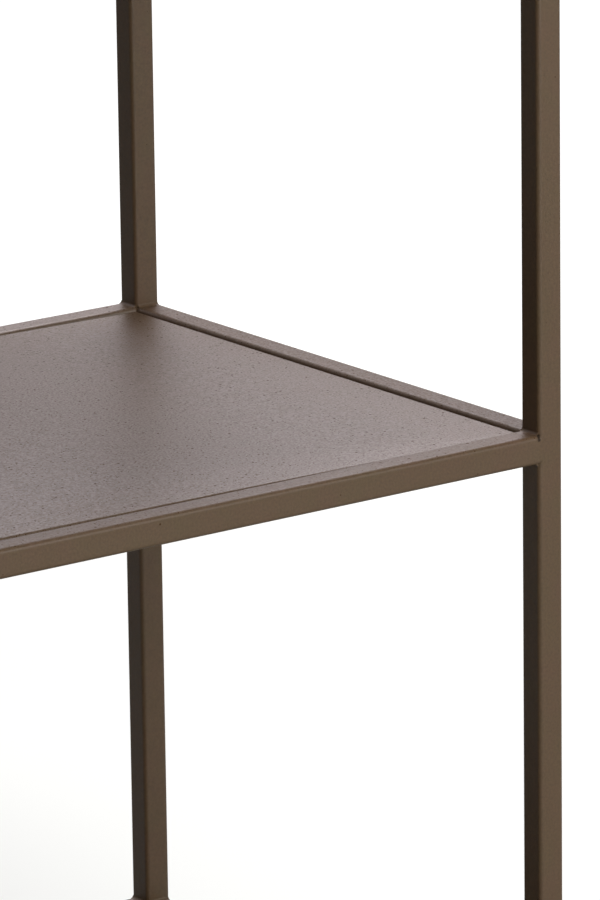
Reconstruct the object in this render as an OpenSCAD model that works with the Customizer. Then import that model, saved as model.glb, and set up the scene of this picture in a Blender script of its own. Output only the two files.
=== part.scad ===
// Open-fronted display shelf: a welded frame of slim square tube with recessed sheet-steel shelves.
// Millimetres. The origin is on the floor under the centre of the unit, +Z is up and the front faces -Y.

/* [Overall size] */
// Width over the outer faces of the posts
unit_w = 800; // [500:10:1100]
// Depth over the outer faces of the posts
unit_d = 360; // [240:5:500]
// Height of the lowest shelf frame's top face above the floor
first_level_h = 110; // [70:5:300]
// Distance from one shelf frame's top face to the next
level_pitch = 337.5; // [150:2.5:450]
// Number of shelves
level_count = 5; // [2:1:5]

/* [Square tube] */
// Outer width of the tube, the same both ways
tube_w = 15; // [12:0.5:25]
// Wall of the tube
tube_t = 1.5; // [0.8:0.1:2]
// Outer radius of the tube's four corners
tube_r = 2.3; // [2.25:0.05:3.5]
// Straight side of the plate that closes a post's top, below its rounded edge
cap_side_h = 0.5; // [0.3:0.1:3]

/* [Shelf panel] */
// How far the panel's top lies below the top of the rails round it
panel_drop = 1.8; // [1:0.1:3]
// Thickness of the sheet
sheet_t = 1; // [0.8:0.1:1.5]
// Inner radius of the folded edge
fold_r = 0.5; // [0.3:0.1:1]
// Depth of the folded lip, from the panel's top to the lip's lower edge
lip_h = 8.5; // [6:0.5:9]
// Gap between the lip and the rails
panel_gap = 0.15; // [0.05:0.05:0.3]

/* [Stiffening channel] */
// Width of the channel's closed side
channel_w = 30; // [20:1:60]
// Depth of the channel below the panel's sheet
channel_h = 10; // [6:0.5:11]
// Width of each of its two feet, spot-welded to the panel
channel_foot_w = 12; // [8:1:20]
// Distance from each end of the channel to the panel's lip
channel_end_gap = 15; // [5:1:60]

/* [Welds] */
// Leg of the fillet bead on top of each rail end
bead_leg = 1.5; // [1:0.1:3]
// Leg of the smaller bead under each rail end
root_leg = 1.2; // [0.6:0.1:2]
// Length of each stitch weld that holds a panel's lip to a rail
stitch_l = 25; // [10:1:35]
// Stitch welds along the front lip and along the rear lip
long_stitches = 4; // [2:1:6]
// Stitch welds along each side lip
side_stitches = 2; // [1:1:3]

/* [Levelling foot] */
// How far the foot screws out of its post
foot_travel = 10; // [5:1:12]
// Length of thread still held in the insert at full travel
thread_grip = 10; // [8:1:14]
// Running clearance of the stud in its insert, all round
stud_gap = 0.05; // [0.02:0.01:0.1]
// Bevel at the stud's upper end
stud_bevel = 0.8; // [0.4:0.1:1.2]
// How far the flats of the stud's hexagon lie inside the post's bore
hex_inset = 1; // [0.5:0.1:1.5]
// Height of the hexagon
hex_h = 5; // [4:0.5:8]
// How far the pad's rim lies inside the post's outer faces
pad_inset = 0.5; // [0.2:0.1:1]
// Height of the pad
pad_h = 5; // [4:0.5:8]
// Radius of the pad's rounded rims
pad_rim_r = 1; // [0.4:0.1:1.5]
// Depth of the hexagon's socket in the pad
socket_h = 2; // [1:0.5:3]
// Clearance of the hexagon in its socket, all round
socket_gap = 0.1; // [0.05:0.05:0.2]

/* [Post insert] */
// Thickness of the insert's flange, which closes the post's lower end
flange_t = 2; // [1:0.5:4]
// Length of the insert inside the post
insert_l = 18; // [16:1:30]
// Clearance of the insert's fins inside the post
insert_gap = 0.1; // [0.05:0.05:0.3]
// Number of fins round the insert
fin_count = 4; // [2:1:5]
// Thickness of each fin
fin_t = 1.2; // [0.8:0.1:2]
// How far the fins stand out from the insert's core
fin_depth = 0.7; // [0.4:0.1:1]

/* [Wall fixing] */
// Diameter of the two screw holes through the top rear rail
wall_hole_d = 6; // [4:0.5:8]
// Distance of each hole from the side of the unit
wall_hole_inset = 50; // [30:5:150]

/* [Hidden] */
$fn = 64;
// Small overrun of a cut past the face that it opens
overrun = 1;
// Diameter of the stud's thread as a share of its hexagon's width
stud_share = 0.6;
// Each bead stops this share of the tube's corner radius short of the tube's edge
bead_end_share = 0.5;
// How hollow a bead's face is: its arc is struck from this share of the leg beyond the leg's end
bead_hollow_share = 0.3;

coat_colour = [0.40, 0.33, 0.27];
sheet_colour = [0.42, 0.35, 0.30];
plastic_colour = [0.09, 0.08, 0.08];
zinc_colour = [0.62, 0.62, 0.60];

half_tube = tube_w / 2;
bore_w = tube_w - 2 * tube_t;
bore_r = tube_r - tube_t;
post_x = unit_w / 2 - half_tube;
post_y = unit_d / 2 - half_tube;
long_rail_l = unit_w - 2 * tube_w;
side_rail_l = unit_d - 2 * tube_w;

hex_af = bore_w - 2 * hex_inset;
stud_d = hex_af * stud_share;
pad_d = tube_w - 2 * pad_inset;
hex_z = pad_h - socket_h;
flange_z = hex_z + hex_h;
post_z = flange_z + flange_t;
top_z = first_level_h + (level_count - 1) * level_pitch;
cap_h = tube_r + cap_side_h;
post_l = top_z - cap_h - post_z;

panel_w = long_rail_l - 2 * panel_gap;
panel_d = side_rail_l - 2 * panel_gap;
stitch_r = sheet_t + panel_gap;
stud_l = foot_travel + thread_grip;

// Each corner of the unit: its name and the side of X and of Y that it is on
corners = [["front_left", -1, -1], ["front_right", 1, -1], ["rear_left", -1, 1], ["rear_right", 1, 1]];
corner_parts = ["post", "post_cap", "foot_insert", "foot_stud", "foot_pad"];
level_parts = [
    "front_rail", "rear_rail", "left_rail", "right_rail", "shelf_panel", "stiffener", "welds"
];

// Height of the centre line of one level's rails
function rail_z(level) = first_level_h + (level - 1) * level_pitch - half_tube;

// Square of width w with corners of radius r, centred on the origin
module round_square(w, r) {
    square([w, w - 2 * r], center = true);
    square([w - 2 * r, w], center = true);
    for (x = [-1, 1], y = [-1, 1])
        translate([x * (w / 2 - r), y * (w / 2 - r)]) circle(r = r);
}

// Drawn tube of length l, along +Z
module tube(l) {
    linear_extrude(height = l)
        difference() {
            round_square(tube_w, tube_r);
            round_square(bore_w, bore_r);
        }
}

// The outside of a tube as a solid bar along +X, from x to x + l
module bar_x(x, l) {
    translate([x, 0, 0])
        rotate([0, 90, 0])
            linear_extrude(height = l) round_square(tube_w, tube_r);
}

module at_post(side_x, side_y) {
    translate([side_x * post_x, side_y * post_y, 0]) children();
}

// A shape drawn for the right rear post, with the origin on the post's axis, mirrored to any corner
module at_corner(side_x, side_y) {
    mirror([side_x < 0 ? 1 : 0, 0, 0])
        mirror([0, side_y < 0 ? 1 : 0, 0])
            translate([post_x, post_y, 0]) children();
}

// A shape drawn for the rail along X, and again for the rail along Y
module both_rails() {
    children();
    mirror([1, -1, 0]) children();
}

module post(side_x, side_y) {
    color(coat_colour)
        at_post(side_x, side_y) translate([0, 0, post_z]) tube(post_l);
}

// Square of the tube's width with only the corner at +X +Y rounded
module edge_square() {
    translate([-half_tube, -half_tube]) square([tube_w, tube_w - tube_r]);
    translate([-half_tube, -half_tube]) square([tube_w - tube_r, tube_w]);
    translate([half_tube - tube_r, half_tube - tube_r]) circle(r = tube_r);
}

// Closed top of the right rear post. Its three outer edges are rounded like the tube's, and on the
// other sides it carries on the outlines of the two rails, so that it covers the ends of both.
module cap_shape() {
    intersection() {
        translate([0, 0, half_tube - cap_h]) linear_extrude(height = cap_h) edge_square();
        rotate([90, 0, 0]) linear_extrude(height = 2 * tube_w, center = true) edge_square();
        rotate([90, 0, 90]) linear_extrude(height = 2 * tube_w, center = true) edge_square();
        both_rails() bar_x(-tube_w, 2 * tube_w);
    }
}

module post_cap(side_x, side_y) {
    color(coat_colour)
        translate([0, 0, rail_z(level_count)]) at_corner(side_x, side_y) cap_shape();
}

module long_rail(level, side_y) {
    color(coat_colour)
        translate([-long_rail_l / 2, side_y * post_y, rail_z(level)])
            rotate([0, 90, 0]) tube(long_rail_l);
}

module side_rail(level, side_x) {
    color(coat_colour)
        translate([side_x * post_x, -side_rail_l / 2, rail_z(level)])
            rotate([-90, 0, 0]) tube(side_rail_l);
}

module front_rail(level) {
    long_rail(level, -1);
}

// The top rear rail is drilled through both walls for the screws that hold the unit to a wall
module rear_rail(level) {
    color(coat_colour)
        difference() {
            long_rail(level, 1);
            if (level == level_count)
                for (side = [-1, 1])
                    translate([side * (unit_w / 2 - wall_hole_inset), post_y, rail_z(level)])
                        rotate([90, 0, 0])
                            cylinder(d = wall_hole_d, h = tube_w + 2 * overrun, center = true);
        }
}

module left_rail(level) {
    side_rail(level, -1);
}

module right_rail(level) {
    side_rail(level, 1);
}

// Outline of a folded tray seen from its end: w wide, h deep below z = 0, its upper corners round
module tray_section(w, h, r) {
    translate([-w / 2, -h]) square([w, h - r]);
    translate([r - w / 2, -h]) square([w - 2 * r, h]);
    for (side = [-1, 1])
        translate([side * (w / 2 - r), -r]) circle(r = r);
}

// Solid tray whose four upper edges are folded round and meet in mitred corners
module tray(w, d, h, r) {
    intersection() {
        rotate([90, 0, 0])
            linear_extrude(height = d + 2 * overrun, center = true) tray_section(w, h, r);
        rotate([90, 0, 90])
            linear_extrude(height = w + 2 * overrun, center = true) tray_section(d, h, r);
    }
}

// Sheet folded down on all four sides, its corners welded and ground
module shelf_panel(level) {
    color(sheet_colour)
        translate([0, 0, rail_z(level) + half_tube - panel_drop])
            difference() {
                tray(panel_w, panel_d, lip_h, fold_r + sheet_t);
                translate([0, 0, -sheet_t])
                    tray(panel_w - 2 * sheet_t, panel_d - 2 * sheet_t, lip_h + overrun, fold_r);
            }
}

// Top-hat channel under the middle of the panel, which keeps the thin sheet from sagging
module stiffener(level) {
    channel_l = panel_w - 2 * sheet_t - 2 * channel_end_gap;
    color(sheet_colour)
        translate([0, 0, rail_z(level) + half_tube - panel_drop - sheet_t])
            rotate([90, 0, 90])
                linear_extrude(height = channel_l, center = true) {
                    for (side = [-1, 1]) {
                        translate([side * (channel_w + channel_foot_w) / 2, -sheet_t / 2])
                            square([channel_foot_w, sheet_t], center = true);
                        translate([side * (channel_w - sheet_t) / 2, -channel_h / 2])
                            square([sheet_t, channel_h], center = true);
                    }
                    translate([0, sheet_t / 2 - channel_h])
                        square([channel_w, sheet_t], center = true);
                }
}

// Fillet bead of the given leg across a rail's end, on its upper side (1) or its lower side (-1).
// It reaches down over the rounded edges of both tubes, which are cut away from it later.
module bead(side, leg) {
    strike = leg * bead_hollow_share;
    rotate([90, 0, 0])
        linear_extrude(height = tube_w - 2 * tube_r * bead_end_share, center = true)
            translate([-half_tube, side * half_tube])
                mirror([0, side < 0 ? 1 : 0])
                    difference() {
                        translate([-leg, -tube_r]) square(leg + tube_r);
                        translate([-leg - strike, leg + strike])
                            circle(r = norm([leg + strike, strike]));
                    }
}

// Weld of one corner, drawn for the right rear post: metal that fills the hollows beside the post's
// rounded edges, ground flush, and the beads at the rail ends. At the top the cap takes its place.
module corner_weld(is_top) {
    difference() {
        both_rails() {
            bar_x(-half_tube, tube_r);
            bead(-1, root_leg);
            if (!is_top) bead(1, bead_leg);
        }
        linear_extrude(height = 2 * tube_w, center = true) round_square(tube_w, tube_r);
        both_rails() {
            bar_x(-half_tube - 2 * bead_leg, 2 * bead_leg);
            translate([-half_tube, 0, 0])
                cube([2 * bead_leg, tube_w - 2 * tube_r, tube_w], center = true);
        }
        if (is_top)
            translate([0, 0, tube_w + half_tube - cap_h]) cube(2 * tube_w, center = true);
    }
}

// Row of stitch welds under the lip along one side of the panel, which is run long
module stitches(run, count, offset) {
    for (k = [1:count])
        translate([run * (k / (count + 1) - 1 / 2), offset, -panel_drop - lip_h])
            rotate([90, 0, 90])
                linear_extrude(height = stitch_l, center = true)
                    intersection() {
                        circle(r = stitch_r);
                        translate([-stitch_r, -stitch_r]) square(stitch_r);
                    }
}

module welds(level) {
    color(coat_colour)
        translate([0, 0, rail_z(level)]) {
            for (corner = corners)
                at_corner(corner[1], corner[2]) corner_weld(level == level_count);
            translate([0, 0, half_tube])
                for (turn = [0, 180]) {
                    rotate([0, 0, turn])
                        stitches(long_rail_l, long_stitches, side_rail_l / 2);
                    rotate([0, 0, turn + 90])
                        stitches(side_rail_l, side_stitches, long_rail_l / 2);
                }
        }
}

// Nylon plug in the post's lower end: a flange, a core with fins and a threaded hole
module foot_insert(side_x, side_y) {
    fin_w = bore_w - 2 * insert_gap;
    core_w = fin_w - 2 * fin_depth;
    fin_step = (insert_l - fin_t) / (fin_count - 1);
    color(plastic_colour)
        at_post(side_x, side_y)
            translate([0, 0, flange_z])
                difference() {
                    union() {
                        linear_extrude(height = flange_t) round_square(tube_w, tube_r);
                        translate([0, 0, flange_t]) {
                            linear_extrude(height = insert_l)
                                round_square(core_w, bore_r / 2);
                            for (k = [0:fin_count - 1])
                                translate([0, 0, k * fin_step])
                                    linear_extrude(height = fin_t) round_square(fin_w, bore_r);
                        }
                    }
                    translate([0, 0, -overrun])
                        cylinder(r = stud_d / 2 + stud_gap, h = flange_t + insert_l + 2 * overrun);
                }
}

module hexagon(af, h) {
    cylinder(d = af / cos(30), h = h, $fn = 6);
}

// Zinc-plated stud with a hexagon that a spanner turns
module foot_stud(side_x, side_y) {
    color(zinc_colour)
        at_post(side_x, side_y) {
            translate([0, 0, hex_z]) hexagon(hex_af, hex_h);
            translate([0, 0, flange_z]) cylinder(d = stud_d, h = stud_l - stud_bevel);
            translate([0, 0, flange_z + stud_l - stud_bevel])
                cylinder(r1 = stud_d / 2, r2 = stud_d / 2 - stud_bevel, h = stud_bevel);
        }
}

// Nylon glide pressed on to the hexagon
module foot_pad(side_x, side_y) {
    color(plastic_colour)
        at_post(side_x, side_y)
            difference() {
                rotate_extrude() {
                    translate([0, pad_rim_r]) square([pad_d / 2, pad_h - 2 * pad_rim_r]);
                    square([pad_d / 2 - pad_rim_r, pad_h]);
                    for (z = [pad_rim_r, pad_h - pad_rim_r])
                        translate([pad_d / 2 - pad_rim_r, z]) circle(r = pad_rim_r);
                }
                translate([0, 0, hex_z]) hexagon(hex_af + 2 * socket_gap, socket_h + overrun);
            }
}

for (corner = corners) {
    post(corner[1], corner[2]);
    post_cap(corner[1], corner[2]);
    foot_insert(corner[1], corner[2]);
    foot_stud(corner[1], corner[2]);
    foot_pad(corner[1], corner[2]);
}
for (level = [1:level_count]) {
    front_rail(level);
    rear_rail(level);
    left_rail(level);
    right_rail(level);
    shelf_panel(level);
    stiffener(level);
    welds(level);
}
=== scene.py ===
import math

import bmesh
import bpy
from mathutils import Matrix, Vector


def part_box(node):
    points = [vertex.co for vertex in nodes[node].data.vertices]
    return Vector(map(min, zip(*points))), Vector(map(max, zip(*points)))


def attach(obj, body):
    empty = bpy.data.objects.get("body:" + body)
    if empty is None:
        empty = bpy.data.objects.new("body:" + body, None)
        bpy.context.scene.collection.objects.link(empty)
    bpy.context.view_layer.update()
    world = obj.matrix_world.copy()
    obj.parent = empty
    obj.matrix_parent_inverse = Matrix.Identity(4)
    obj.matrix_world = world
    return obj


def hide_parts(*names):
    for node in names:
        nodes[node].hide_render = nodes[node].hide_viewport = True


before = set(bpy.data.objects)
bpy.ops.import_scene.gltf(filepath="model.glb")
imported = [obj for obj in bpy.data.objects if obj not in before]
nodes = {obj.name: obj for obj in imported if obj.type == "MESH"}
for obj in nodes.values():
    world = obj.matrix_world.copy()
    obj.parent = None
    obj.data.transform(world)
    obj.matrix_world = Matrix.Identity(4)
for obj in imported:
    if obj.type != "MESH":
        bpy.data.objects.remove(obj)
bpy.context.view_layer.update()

# Camera. The photograph is a close view of the unit's right end, taken through a long lens from the front
# left and from a little above the shelf. The unit's own edges in it give the camera's place and turn.
camera_place = (-1.7025, -2.7806, 1.3412)
camera_turn_right = math.radians(36.703)
camera_tilt_down = math.radians(15.102)
camera_roll = math.radians(0.7416)
lens_mm = 276.987
sensor_mm = 36
collection = bpy.context.scene.collection

camera_data = bpy.data.cameras.new("camera")
camera_data.lens = lens_mm
camera_data.sensor_width = sensor_mm
camera = bpy.data.objects.new("camera", camera_data)
camera.matrix_world = (
    Matrix.Translation(camera_place)
    @ Matrix.Rotation(-camera_turn_right, 4, "Z")
    @ Matrix.Rotation(math.pi / 2 - camera_tilt_down, 4, "X")
    @ Matrix.Rotation(-camera_roll, 4, "Z")
)
collection.objects.link(camera)
bpy.context.scene.camera = camera


# Welded tube frame. Posts and rails are drawn 15 mm square steel tube, and small plates close the posts'
# tops. All are welded, ground flush and sprayed with satin powder coat. Its skin has orange peel, dull flecks
# and dull grains, and the rails' tops hold most of the grains and flecks.
class Wire:
    """An output socket of a node tree. Sums and products of wires add Math nodes to the tree."""

    def __init__(self, socket):
        self.socket = socket

    def node(self, kind, settings, inputs, output=0):
        made = self.socket.id_data.nodes.new(kind)
        for name, value in settings.items():
            setattr(made, name, value)
        for name, value in inputs.items():
            if isinstance(value, Wire):
                self.socket.id_data.links.new(value.socket, made.inputs[name])
            else:
                made.inputs[name].default_value = value
        return Wire(made.outputs[output]) if made.outputs else None

    def math(self, operation, first, second):
        return self.node("ShaderNodeMath", {"operation": operation}, {0: first, 1: second})

    def __add__(self, other):
        return self.math("ADD", self, other)

    def __radd__(self, other):
        return self.math("ADD", other, self)

    def __sub__(self, other):
        return self.math("SUBTRACT", self, other)

    def __rsub__(self, other):
        return self.math("SUBTRACT", other, self)

    def __mul__(self, other):
        return self.math("MULTIPLY", self, other)

    def __rmul__(self, other):
        return self.math("MULTIPLY", other, self)

    def __truediv__(self, other):
        return self.math("DIVIDE", self, other)

    def __rtruediv__(self, other):
        return self.math("DIVIDE", other, self)

    def __pow__(self, other):
        return self.math("POWER", self, other)

    def __abs__(self):
        return self.math("ABSOLUTE", self, 0)

    def __lt__(self, other):
        return self.math("LESS_THAN", self, other)

    def clamped(self):
        return self.node("ShaderNodeClamp", {}, {0: self})


def new_material(name):
    """An empty material, and the wire of its object coordinates."""
    material = bpy.data.materials.new(name)
    material.use_nodes = True
    material.node_tree.nodes.clear()
    return material, Wire(material.node_tree.nodes.new("ShaderNodeTexCoord").outputs["Object"])


def noise(here, per_metre, detail):
    """Soft noise from -0.5 to 0.5, with so many lumps to the metre."""
    lumps = here.node("ShaderNodeTexNoise", {}, {"Vector": here, "Scale": per_metre, "Detail": detail})
    return lumps - 0.5


def patches(value, contrast):
    """A share from 0 to 1 that follows the noise, and is half where the noise is 0."""
    return (0.5 + value * contrast).clamped()


def part_of(here, axis):
    """The X, Y or Z of a vector."""
    return here.node("ShaderNodeSeparateXYZ", {}, {0: here}, axis)


def blend(factor, first, second):
    """One colour where the factor is 0, and the other where it is 1."""
    return factor.node("ShaderNodeMix", {"data_type": "RGBA"}, {0: factor, 6: first, 7: second}, 2)


def shaded(colour, shade=1):
    """A written colour made darker or lighter, as a socket takes it."""
    return (*(part * shade for part in colour), 1)


def shade_wire(colour, shade):
    """A colour that a wire carries, made darker or lighter."""
    return colour.node("ShaderNodeVectorMath", {"operation": "SCALE"}, {0: colour, "Scale": shade})


def rise(value, start, full):
    """A smooth rise from 0 at start to 1 at full."""
    smooth = {"interpolation_type": "SMOOTHSTEP"}
    return value.node("ShaderNodeMapRange", smooth, {0: value, 1: start, 2: full})


grain_least_size = 0.55
grain_sharpness = 5


def grains(here, per_metre, radius, share):
    """Grains of the powder: 1 inside a grain. Of the cells of a Voronoi pattern, the share hold one."""
    cells = here.node("ShaderNodeTexVoronoi", {}, {"Vector": here, "Scale": per_metre}, "Distance")
    cell_colour = Wire(cells.socket.node.outputs["Color"])
    chance = cell_colour.node("ShaderNodeSeparateColor", {}, {0: cell_colour}, "Red")
    size = Wire(chance.socket.node.outputs["Green"])
    reach = radius * (grain_least_size + size * (1 - grain_least_size))
    return ((reach - cells) * (grain_sharpness / radius)).clamped() * (chance < share)


lowest_rail_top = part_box("front_rail_1")[1].z
rail_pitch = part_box("front_rail_2")[1].z - lowest_rail_top


def height_over_rails(here):
    """Height above the top of the nearest shelf frame's rails, negative below it."""
    height = part_of(here, "Z") - lowest_rail_top + rail_pitch / 2
    return height.math("FLOORED_MODULO", height, rail_pitch) - rail_pitch / 2


post_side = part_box("post_front_right")[0].x
front_face = -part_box("post_front_right")[0].y
notch_from_post = 0.0001
notch_half_width = 0.0009
notch_length = 0.0032
notch_end_share = 0.2
notch_depth = 0.0005
notch_face_start = 0.002
notch_face_full = 0.001
top_blur = 0.0008


def weld_notch(here):
    """Depth of the small notch beside each rail end, where the corner's weld metal starts below the
    rail's top. Only the frame's front and rear faces have it. The coat also darkens the notch by this
    depth, as painted shade."""
    across = (abs(part_of(here, "X")) - post_side + notch_from_post) / notch_half_width
    above_top = height_over_rails(here)
    from_below = rise(above_top, -notch_length, -notch_length * (1 - notch_end_share))
    to_top = from_below * (1 - rise(above_top, 0, top_blur))
    on_face = rise(abs(part_of(here, "Y")), front_face - notch_face_start, front_face - notch_face_full)
    return (1 - across * across).clamped() * to_top * on_face * notch_depth


coat_colour = (0.107, 0.0600, 0.0310)
olive_coat = (0.099, 0.0625, 0.0282)
# The dark colour below is painted shade in the weld notches
notch_shade_colour = (0.022, 0.016, 0.011)
tints_per_metre = 75
tint_contrast = 1.6
clouds_per_metre = 9
cloud_shade = 0.25
cloud_roughness = 0.06
skin_per_metre = 700
skin_height = 0.000045
skin_shade = 1.3
skin_roughness = 0.30
coat_darkest = 0.8
coat_lightest = 1.2
peel_per_metre = 230
peel_height = 0.000022
coat_roughness = 0.45
coat_ior = 1.5
coarse_grains_per_metre = 250
coarse_grain_radius = 0.19
fine_grains_per_metre = 480
fine_grain_radius = 0.22
fine_grain_dullness = 0.9
fine_for_each_coarse = 2
flecks_per_metre = 850
fleck_contrast = 4
dull_shade = 0.6
dull_roughness = 0.8
dull_specular = 0.1
# How far the painted shade darkens the weld notches
notch_shade_strength = 0.9
top_edge_start = -0.0016
top_edge_full = -0.0006
side_grains = 0.01
side_flecks = 0.35
# Painted middle shade: full within this half length, none past its end
painted_shade_half_length = 0.18
painted_shade_end = 0.37


def powder_coat(name, grain_share, flecks, sheen, roughness=coat_roughness, painted_middle_shade=0, is_rail=False):
    """Satin powder coat with so many grains and flecks, which are dull. On a rail they lie mostly on the
    top. A painted middle shade makes the coat duller and darker halfway along the unit, standing in for
    the lamps' reflection, which is weaker there than near the ends. The weld notches get painted shade."""
    material, here = new_material(name)
    cloud = noise(here, clouds_per_metre, detail=3)
    tint = noise(here, tints_per_metre, detail=1)
    skin = noise(here, skin_per_metre, detail=1)
    peel = noise(here, peel_per_metre, detail=1)
    if is_rail:
        on_top = rise(height_over_rails(here), top_edge_start, top_edge_full)
        grain_share = grain_share * (side_grains + (1 - side_grains) * on_top)
        flecks = flecks * (side_flecks + (1 - side_flecks) * on_top)
    coarse = grains(here, coarse_grains_per_metre, coarse_grain_radius, grain_share)
    fine = grains(here, fine_grains_per_metre, fine_grain_radius, fine_for_each_coarse * grain_share)
    grain = coarse + fine * fine_grain_dullness
    fleck = patches(noise(here, flecks_per_metre, detail=1), fleck_contrast) * flecks
    # Painted shade: the middle of the unit is mixed towards the dull coat, where the lamps' reflection is
    # weaker
    if painted_middle_shade:
        fleck = fleck + painted_middle_shade * (1 - rise(abs(part_of(here, "X")), painted_shade_half_length, painted_shade_end))
    base = blend(patches(tint, tint_contrast), shaded(coat_colour), shaded(olive_coat))
    mottle = (0.5 + skin * skin_shade + cloud * cloud_shade).clamped()
    notch = weld_notch(here)
    height = peel * peel_height + skin * skin_height - notch
    relief = here.node("ShaderNodeBump", {}, {"Height": height, "Distance": 1.0})
    satin = here.node("ShaderNodeBsdfPrincipled", {}, {
        "Base Color": blend(mottle, shade_wire(base, coat_darkest), shade_wire(base, coat_lightest)),
        "Roughness": roughness + skin * skin_roughness + cloud * cloud_roughness,
        "IOR": coat_ior,
        "Specular IOR Level": sheen,
        "Normal": relief,
    })
    dull = here.node("ShaderNodeBsdfPrincipled", {}, {
        "Base Color": shaded(coat_colour, dull_shade),
        "Roughness": dull_roughness,
        "Specular IOR Level": dull_specular,
        "Normal": relief,
    })
    # A dark closure that paints the shade inside the weld notches
    notch_shade = here.node("ShaderNodeBsdfPrincipled", {}, {
        "Base Color": shaded(notch_shade_colour),
        "Roughness": dull_roughness,
        "Specular IOR Level": dull_specular,
    })
    coated = here.node("ShaderNodeMixShader", {}, {0: (grain + fleck).clamped(), 1: satin, 2: dull})
    # Painted shade: the notch is darkened by its depth, standing in for the shade that falls inside it
    notch_shade_share = notch / notch_depth * notch_shade_strength
    surface = here.node("ShaderNodeMixShader", {}, {0: notch_shade_share, 1: coated, 2: notch_shade})
    here.node("ShaderNodeOutputMaterial", {}, {"Surface": surface})
    return material


def give_material(material, *starts):
    """Gives the material to each CAD node whose name starts with one of these words."""
    for name, node in nodes.items():
        if name.startswith(starts):
            for slot in node.material_slots:
                slot.material = material


post_coat = powder_coat("post_coat", grain_share=0.0045, flecks=0.077, sheen=0.56)
# Painted light: the rail coats are lit and shaded copies of one powder coat. The rear rails get more sheen, a
# painted highlight, and the side rails more dull flecks, a painted shade, because the light makes the rear
# rails' tops brighter and the side rails' tops darker than the front rails'.
front_rail_coat = powder_coat("front_rail_coat", grain_share=0.45, flecks=0.20, sheen=0.60, is_rail=True)
side_rail_shaded_coat = powder_coat("side_rail_shaded_coat", grain_share=0.40, flecks=0.36, sheen=0.60, is_rail=True)
rear_rail_lit_coat = powder_coat("rear_rail_lit_coat", grain_share=0.30, flecks=0.22, sheen=1.15, is_rail=True)
give_material(post_coat, "post_")
give_material(front_rail_coat, "front_rail_")
give_material(side_rail_shaded_coat, "left_rail_", "right_rail_")
give_material(rear_rail_lit_coat, "rear_rail_")

# Shelf panels. Each is 1 mm sheet, folded down on its four sides and stitch-welded to the rails by the lower
# edges of its lips. The welds' pull has pushed the sheet up into a slight crown, lowest at both ends.
sheet_thickness = 0.001
sheet_crease = math.radians(5)
crown_rise = {1: 0.0014, 2: 0.0021, 3: 0.0010, 4: 0.0016, 5: 0.0012}
crown_power = 2.5
crown_strips = 72
merge_distance = 0.000001
panel_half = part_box("shelf_panel_1")[1].x


def crown(level, x):
    """How far the crown of this shelf lifts its sheet at x."""
    return crown_rise[level] * (1 - abs(x / panel_half) ** crown_power)


def strip_copy(node, strips):
    """A copy of a CAD node's mesh, its loose triangles merged and cut across into strips."""
    low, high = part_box(node)
    bm = bmesh.new()
    bm.from_mesh(nodes[node].data)
    bmesh.ops.remove_doubles(bm, verts=bm.verts, dist=merge_distance)
    for k in range(1, strips):
        place = (low.x + (high.x - low.x) * k / strips, 0, 0)
        whole = [*bm.verts, *bm.edges, *bm.faces]
        bmesh.ops.bisect_plane(bm, geom=whole, plane_co=place, plane_no=(1, 0, 0))
    return bm


def add_piece(name, bm, crease, material, body):
    """Puts a shape made in the unit's own frame into the scene as a piece of that body. It is shaded
    smooth, but for edges sharper than the crease."""
    mesh = bpy.data.meshes.new(name)
    bm.to_mesh(mesh)
    bm.free()
    mesh.shade_smooth()
    mesh.set_sharp_from_angle(angle=crease)
    mesh.materials.append(material)
    piece = bpy.data.objects.new(name, mesh)
    collection.objects.link(piece)
    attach(piece, body)
    return piece


# The sheet coat carries the painted middle shade
sheet_coat = powder_coat(
    "sheet_coat", grain_share=0.50, flecks=0.28, sheen=1.25, roughness=0.38, painted_middle_shade=0.20
)
for level in crown_rise:
    node = f"shelf_panel_{level}"
    low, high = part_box(node)
    bm = strip_copy(node, crown_strips)
    for vert in bm.verts:
        lip_share = min(1, (vert.co.z - low.z) / (high.z - sheet_thickness - low.z))
        vert.co.z += crown(level, vert.co.x) * lip_share
    panel = add_piece(f"crowned_panel_{level}", bm, sheet_crease, sheet_coat, "shelf_frame")
    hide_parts(node)

# Stiffening channels. Each is a folded top-hat of the same sheet, spot-welded under the middle of its panel,
# and it follows the panel's crown. Every spot weld leaves a low round mark on the channel's two feet.
weld_mark_radius = 0.0026
weld_mark_taper = 0.6
weld_mark_corners = 14
weld_mark_height = 0.00025
weld_mark_sunk_share = 0.3
weld_mark_step = 0.046
foot_line = 0.021
channel_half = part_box("stiffener_1")[1].x


def shape_tree(name, sizes):
    """A Geometry Nodes tree with one named input for each size. Returns it and the inputs' wires."""
    tree = bpy.data.node_groups.new(name, "GeometryNodeTree")
    tree.interface.new_socket("Geometry", in_out="OUTPUT", socket_type="NodeSocketGeometry")
    for label, value in sizes.items():
        kind = "NodeSocketInt" if isinstance(value, int) else "NodeSocketFloat"
        tree.interface.new_socket(label, in_out="INPUT", socket_type=kind)
    start = tree.nodes.new("NodeGroupInput")
    return tree, {label: Wire(start.outputs[label]) for label in sizes}


def end_tree(shape, material):
    """Ends a tree in real geometry with its material."""
    real = shape.node("GeometryNodeRealizeInstances", {}, {"Geometry": shape})
    finished = real.node("GeometryNodeSetMaterial", {}, {"Geometry": real, "Material": material})
    finished.node("NodeGroupOutput", {}, {0: finished})


def grown(name, tree, sizes):
    """The plain mesh that the tree makes with these sizes."""
    seed = bpy.data.meshes.new(name)
    holder = bpy.data.objects.new(name, seed)
    collection.objects.link(holder)
    growth = holder.modifiers.new("growth", "NODES")
    growth.node_group = tree
    for socket in tree.interface.items_tree:
        if socket.in_out == "INPUT":
            growth[socket.identifier] = sizes[socket.name]
    mesh = bpy.data.meshes.new_from_object(holder.evaluated_get(bpy.context.evaluated_depsgraph_get()))
    bpy.data.objects.remove(holder)
    bpy.data.meshes.remove(seed)
    return mesh


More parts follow.
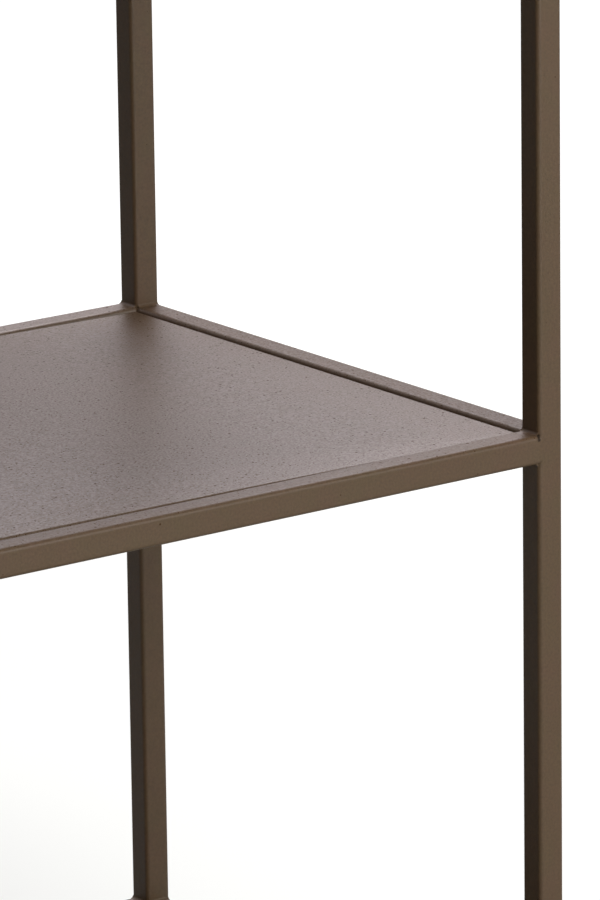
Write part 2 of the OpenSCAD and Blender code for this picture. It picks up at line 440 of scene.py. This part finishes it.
mark_sizes = {
    "Marks in a row": int(2 * channel_half / weld_mark_step),
    "Row length": 2 * (channel_half - weld_mark_step / 2),
    "Half panel": panel_half,
    "Foot line": foot_line,
    "Foot underside": 0.0,
    "Rise": 0.0,
    "Mark radius": weld_mark_radius,
    "Mark height": weld_mark_height,
}
mark_tree, size = shape_tree("spot_weld_marks", mark_sizes)
row_end = size["Row length"].node("ShaderNodeCombineXYZ", {}, {"X": size["Row length"] * 0.5})
row_start = row_end.node("ShaderNodeCombineXYZ", {}, {"X": size["Row length"] * -0.5})
row = row_start.node("GeometryNodeMeshLine", {"mode": "END_POINTS"}, {
    "Count": size["Marks in a row"],
    "Start Location": row_start,
    "Offset": row_end,
})
along_x = part_of(row.node("GeometryNodeInputPosition", {}, {}), "X")
lift = size["Rise"] * (1 - abs(along_x / size["Half panel"]) ** crown_power)
rows = []
for side in (-1, 1):
    place = row.node("ShaderNodeCombineXYZ", {}, {
        "X": along_x,
        "Y": size["Foot line"] * side,
        "Z": size["Foot underside"] + lift - size["Mark height"],
    })
    rows.append(row.node("GeometryNodeSetPosition", {}, {"Geometry": row, "Position": place}))
# The one input of Join Geometry takes both rows
both_rows = row.node("GeometryNodeJoinGeometry", {}, {"Geometry": rows[0]})
both_rows.socket.id_data.links.new(rows[1].socket, both_rows.socket.node.inputs[0])
mark = row.node("GeometryNodeMeshCone", {}, {
    "Vertices": weld_mark_corners,
    "Radius Top": size["Mark radius"],
    "Radius Bottom": size["Mark radius"] * weld_mark_taper,
    "Depth": size["Mark height"] * (1 + weld_mark_sunk_share),
})
end_tree(row.node("GeometryNodeInstanceOnPoints", {}, {"Points": both_rows, "Instance": mark}), sheet_coat)

for level in crown_rise:
    node = f"stiffener_{level}"
    bm = strip_copy(node, crown_strips)
    for vert in bm.verts:
        vert.co.z += crown(level, vert.co.x)
    foot_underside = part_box(node)[1].z - sheet_thickness
    sizes = {**mark_sizes, "Foot underside": foot_underside, "Rise": crown_rise[level]}
    bm.from_mesh(grown(f"marks_{level}", mark_tree, sizes))
    channel = add_piece(
        f"crowned_stiffener_{level}", bm, sheet_crease, sheet_coat, "shelf_frame"
    )
    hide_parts(node)

# Welds. The corner fillers are ground flush with the tubes. The beads inside the corners and the stitches
# under the sheets are left as welded. All are steel, coated with the frame, and hold few grains.
weld_coat = powder_coat("weld_coat", grain_share=0.001, flecks=0.077, sheen=0.56)
give_material(weld_coat, "welds_")

# Post inserts and glide pads. Both are black nylon, moulded in a finely spark-eroded die. The inserts are
# plugged into the posts' lower ends, and the pads are pressed on to the studs' hexagons.
nylon_colour = (0.018, 0.017, 0.016)
nylon_darkest = 0.8
nylon_lightest = 1.4
nylon_ior = 1.53
nylon_skin_per_metre = 2600
nylon_skin_height = 0.00001
nylon_skin_roughness = 0.1
nylon_flow_per_metre = 60
nylon_flow_contrast = 0.8


def moulded_nylon(name, roughness):
    """Black nylon with the die's fine matt skin and faint flow marks."""
    material, here = new_material(name)
    skin = noise(here, nylon_skin_per_metre, detail=2)
    flow = patches(noise(here, nylon_flow_per_metre, detail=2), nylon_flow_contrast)
    surface = here.node("ShaderNodeBsdfPrincipled", {}, {
        "Base Color": blend(flow, shaded(nylon_colour, nylon_darkest), shaded(nylon_colour, nylon_lightest)),
        "Roughness": roughness + skin * nylon_skin_roughness,
        "IOR": nylon_ior,
        "Normal": here.node("ShaderNodeBump", {}, {"Height": skin * nylon_skin_height, "Distance": 1.0}),
    })
    here.node("ShaderNodeOutputMaterial", {}, {"Surface": surface})
    return material


give_material(moulded_nylon("insert_nylon", roughness=0.5), "foot_insert_")
give_material(moulded_nylon("pad_nylon", roughness=0.6), "foot_pad_")

# Levelling studs. Each is a steel stud with a rolled M6 thread and a hexagon forged on its lower end, bright
# zinc plated. It screws into the insert in the post's lower end.
corner_names = ["front_left", "front_right", "rear_left", "rear_right"]
shank_radius = 0.003
stud_bevel = 0.0008
stud_crease = math.radians(35)
thread_pitch = 0.001
thread_depth = 0.00061
thread_sides = 36
rows_per_turn = 8
ridge_reach = 1.25
ridge_slope = 1.5
run_out_turns = 2
run_out_least = 0.35
hexagon_height = 0.005
hexagon_points = 72
hexagon_end = 0.97
hexagon_turned_from = 1.02
hexagon_turned_slope = 0.5
zinc_colour = (0.58, 0.58, 0.56)
zinc_darkest = 0.85
zinc_lightest = 1.1
zinc_roughness = 0.28
spangles_per_metre = 900
spangle_contrast = 1.2
spangle_roughness = 0.08
spangle_height = 0.000004
haze_per_metre = 150
haze_roughness = 0.15


def zinc_plate(name):
    """Bright zinc plate with fine spangle and a faint haze."""
    material, here = new_material(name)
    spangle = noise(here, spangles_per_metre, detail=3)
    haze = noise(here, haze_per_metre, detail=2)
    tone = patches(spangle, spangle_contrast)
    surface = here.node("ShaderNodeBsdfPrincipled", {}, {
        "Base Color": blend(tone, shaded(zinc_colour, zinc_darkest), shaded(zinc_colour, zinc_lightest)),
        "Metallic": 1.0,
        "Roughness": zinc_roughness + haze * haze_roughness + spangle * spangle_roughness,
        "Normal": here.node("ShaderNodeBump", {}, {"Height": spangle * spangle_height, "Distance": 1.0}),
    })
    here.node("ShaderNodeOutputMaterial", {}, {"Surface": surface})
    return material


def ring_skin(bm, rings):
    """Joins rings of points, from the lowest up, into a closed skin whose faces point outwards."""
    rows = [[bm.verts.new(point) for point in ring] for ring in rings]
    for low, high in zip(rows, rows[1:]):
        for k in range(len(low)):
            after = (k + 1) % len(low)
            bm.faces.new((low[k], low[after], high[after], high[k]))
    bm.faces.new(list(reversed(rows[0])))
    bm.faces.new(rows[-1])


def hexagon_ring(centre, flat_radius, widest, height, slope):
    """Points round the hexagon at one height, no further out than the widest. Past its flats' circle
    they lean back by the slope, as turned corners do."""
    ring = []
    for k in range(hexagon_points):
        angle = 2 * math.pi * k / hexagon_points
        radius = flat_radius / math.cos(angle % (math.pi / 3) - math.pi / 6)
        lean = slope * max(0, radius - flat_radius * hexagon_turned_from)
        radius = min(radius, widest)
        x = centre.x + radius * math.cos(angle)
        y = centre.y + radius * math.sin(angle)
        ring.append((x, y, height - lean))
    return ring


zinc = zinc_plate("zinc_plate")
thread_sizes = {
    "Sides": thread_sides,
    "Rows": rows_per_turn,
    "Length": 0.0,
    "Foot": 0.0,
    "Centre X": 0.0,
    "Centre Y": 0.0,
    "Pitch": thread_pitch,
    "Outer radius": shank_radius,
    "Depth": thread_depth,
    "Bevel": stud_bevel,
}
thread_tree, size = shape_tree("rolled_thread", thread_sizes)
# The rod starts with a radius of 1, so x and y are the cosine and sine of each point's angle
rod = size["Sides"].node("GeometryNodeMeshCylinder", {}, {
    "Vertices": size["Sides"],
    "Side Segments": size["Rows"],
    "Radius": 1.0,
    "Depth": size["Length"],
}, "Mesh")
point = rod.node("GeometryNodeInputPosition", {}, {})
x, y, z = [part_of(point, axis) for axis in "XYZ"]
height = z + size["Length"] / 2
to_end = size["Length"] - height
turns = height / size["Pitch"] - x.math("ARCTAN2", y, x) / (2 * math.pi)
phase = turns.math("FRACT", turns, 0)
run_out = (to_end / (run_out_turns * size["Pitch"]) + run_out_least).clamped()
ridge = (ridge_reach - abs(2 * phase - 1) * ridge_slope).clamped() * run_out
radius = size["Outer radius"] - size["Depth"] + size["Depth"] * ridge
radius = radius.math("MINIMUM", radius, size["Outer radius"] - size["Bevel"] + to_end)
place = rod.node("ShaderNodeCombineXYZ", {}, {
    "X": size["Centre X"] + x * radius,
    "Y": size["Centre Y"] + y * radius,
    "Z": size["Foot"] + height,
})
end_tree(rod.node("GeometryNodeSetPosition", {}, {"Geometry": rod, "Position": place}), zinc)

for corner in corner_names:
    low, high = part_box(f"foot_stud_{corner}")
    centre = (low + high) / 2
    flat_radius = (high.y - low.y) / 2
    end_radius = flat_radius * hexagon_end
    hexagon_top = low.z + hexagon_height
    bm = bmesh.new()
    ring_skin(bm, [
        hexagon_ring(centre, flat_radius, end_radius, low.z, 0),
        hexagon_ring(centre, flat_radius, math.inf, low.z, -hexagon_turned_slope),
        hexagon_ring(centre, flat_radius, math.inf, hexagon_top, hexagon_turned_slope),
        hexagon_ring(centre, flat_radius, end_radius, hexagon_top, 0),
    ])
    length = high.z - hexagon_top
    bm.from_mesh(grown(f"thread_{corner}", thread_tree, {
        **thread_sizes,
        "Rows": int(length / thread_pitch * rows_per_turn),
        "Length": length,
        "Foot": hexagon_top,
        "Centre X": centre.x,
        "Centre Y": centre.y,
    }))
    stud = add_piece(f"threaded_stud_{corner}", bm, stud_crease, zinc, f"{corner}_foot")
    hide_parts(f"foot_stud_{corner}")

# Stage: a pale floor with a painted shadow behind the unit, a plain white background and five softboxes.
# The room is dark on the left, which keeps the left faces of the tubes as dark as the photograph shows them.
black = (0, 0, 0)
white = (1, 1, 1)
faint_pink = (1.0, 0.93, 0.97)
floor_half = 7
floor_colour = (0.352, 0.372, 0.345)
# Painted shadow: the floor's glow is lower in a soft disc around this centre, behind the unit
shadow_centre = (0, 0.6, 0)
shadow_core = 0.36
shadow_edge = 0.74
beyond_shadow = 0.8
far_floor = 2.0
glow_in_shadow = 0.447
glow_beside = 0.17
glow_far = 0.24
sweep_direction = (0.9, 0.44, 0)
sweep_start = 0.4
sweep_full = 1.4
sweep_share = 0.3


def ray_kind(here, kind):
    """A wire that is 1 for the rays of this kind, such as those that the camera sends out."""
    return here.node("ShaderNodeLightPath", {}, {}, f"Is {kind} Ray")


def along(here, direction):
    """How far a place, or the end of a direction, lies along another direction."""
    return here.node("ShaderNodeVectorMath", {"operation": "DOT_PRODUCT"}, {0: here, 1: direction}, "Value")


# The floor glows for the camera, and for the unit's gloss only towards the right. Its glow is lower in a
# soft disc around the shadow's centre behind the unit: a painted shadow.
floor_material, here = new_material("pale_floor")
away = here.node("ShaderNodeVectorMath", {"operation": "DISTANCE"}, {0: here, 1: shadow_centre}, "Value")
glow_near = glow_in_shadow + glow_beside * rise(away, shadow_core, shadow_edge)
glow = glow_near + glow_far * rise(away, beyond_shadow, far_floor)
sent_on = ray_kind(here, "Glossy") + ray_kind(here, "Transmission")
swept = sent_on * rise(along(here, sweep_direction), sweep_start, sweep_full) * sweep_share
seen = (ray_kind(here, "Camera") + swept).clamped() * glow
pale_floor = here.node("ShaderNodeBsdfPrincipled", {}, {
    "Base Color": shaded(floor_colour),
    "Roughness": 1.0,
    "Specular IOR Level": 0.0,
    "Emission Color": blend(seen, shaded(black), shaded(white)),
    "Emission Strength": 1.0,
})
here.node("ShaderNodeOutputMaterial", {}, {"Surface": pale_floor})

floor_mesh = bpy.data.meshes.new("floor")
bm = bmesh.new()
floor_corners = [(x * floor_half, y * floor_half, 0) for x, y in ((-1, -1), (1, -1), (1, 1), (-1, 1))]
bm.faces.new([bm.verts.new(corner) for corner in floor_corners])
bm.to_mesh(floor_mesh)
bm.free()
floor_mesh.materials.append(floor_material)
floor = bpy.data.objects.new("floor", floor_mesh)
collection.objects.link(floor)

lit_middle = (0.3, 0, 0.45)
softbox_distance = 3


def softbox(name, azimuth, elevation, size, watts, colour):
    """A softbox that points at the lit middle of the unit. Its azimuth runs clockwise from +Y as seen
    from above."""
    turn = math.radians(azimuth)
    lift = math.radians(elevation)
    flat = softbox_distance * math.cos(lift)
    up = softbox_distance * math.sin(lift)
    place = Vector(lit_middle) + Vector((flat * math.sin(turn), flat * math.cos(turn), up))
    data = bpy.data.lights.new(name, "AREA")
    data.shape = "RECTANGLE"
    data.size, data.size_y = size
    data.energy = watts
    data.color = colour
    lamp = bpy.data.objects.new(name, data)
    aim = (Vector(lit_middle) - place).to_track_quat("-Z", "Y")
    lamp.matrix_world = Matrix.Translation(place) @ aim.to_matrix().to_4x4()
    lamp.visible_camera = False
    collection.objects.link(lamp)


softbox("rear_right_softbox", azimuth=37, elevation=45, size=(1.3, 2.4), watts=31, colour=faint_pink)
softbox("overhead_softbox", azimuth=0, elevation=90, size=(1.3, 1.3), watts=46, colour=faint_pink)
softbox("front_right_softbox", azimuth=145, elevation=13, size=(1.3, 1.5), watts=10, colour=white)
softbox("front_softbox", azimuth=180, elevation=20, size=(1.3, 1.3), watts=55, colour=white)
softbox("front_high_softbox", azimuth=180, elevation=50, size=(1.3, 1.3), watts=11, colour=white)

# The camera sees a white room. All other rays see a dark one, with a pale glow behind and above the unit
backdrop_direction = (0.27, 0.77, 0.57)
backdrop_start = 0.45
backdrop_full = 0.85
backdrop_foot = 0.1
backdrop_lit = 0.4
room_light = 0.02
world = bpy.data.worlds.new("studio")
world.use_nodes = True
world.node_tree.nodes.clear()
here = Wire(world.node_tree.nodes.new("ShaderNodeTexCoord").outputs["Generated"])
across_room = rise(along(here, backdrop_direction), backdrop_start, backdrop_full)
above_floor = rise(part_of(here, "Z"), backdrop_foot, backdrop_lit)
room = blend((across_room * above_floor).clamped(), shaded(white, room_light), shaded(faint_pink))
room_surface = here.node("ShaderNodeBackground", {}, {
    "Color": blend(ray_kind(here, "Camera"), room, shaded(white)),
    "Strength": 1.0,
})
here.node("ShaderNodeOutputWorld", {}, {"Surface": room_surface})
bpy.context.scene.world = world
bpy.context.scene.view_settings.view_transform = "Standard"
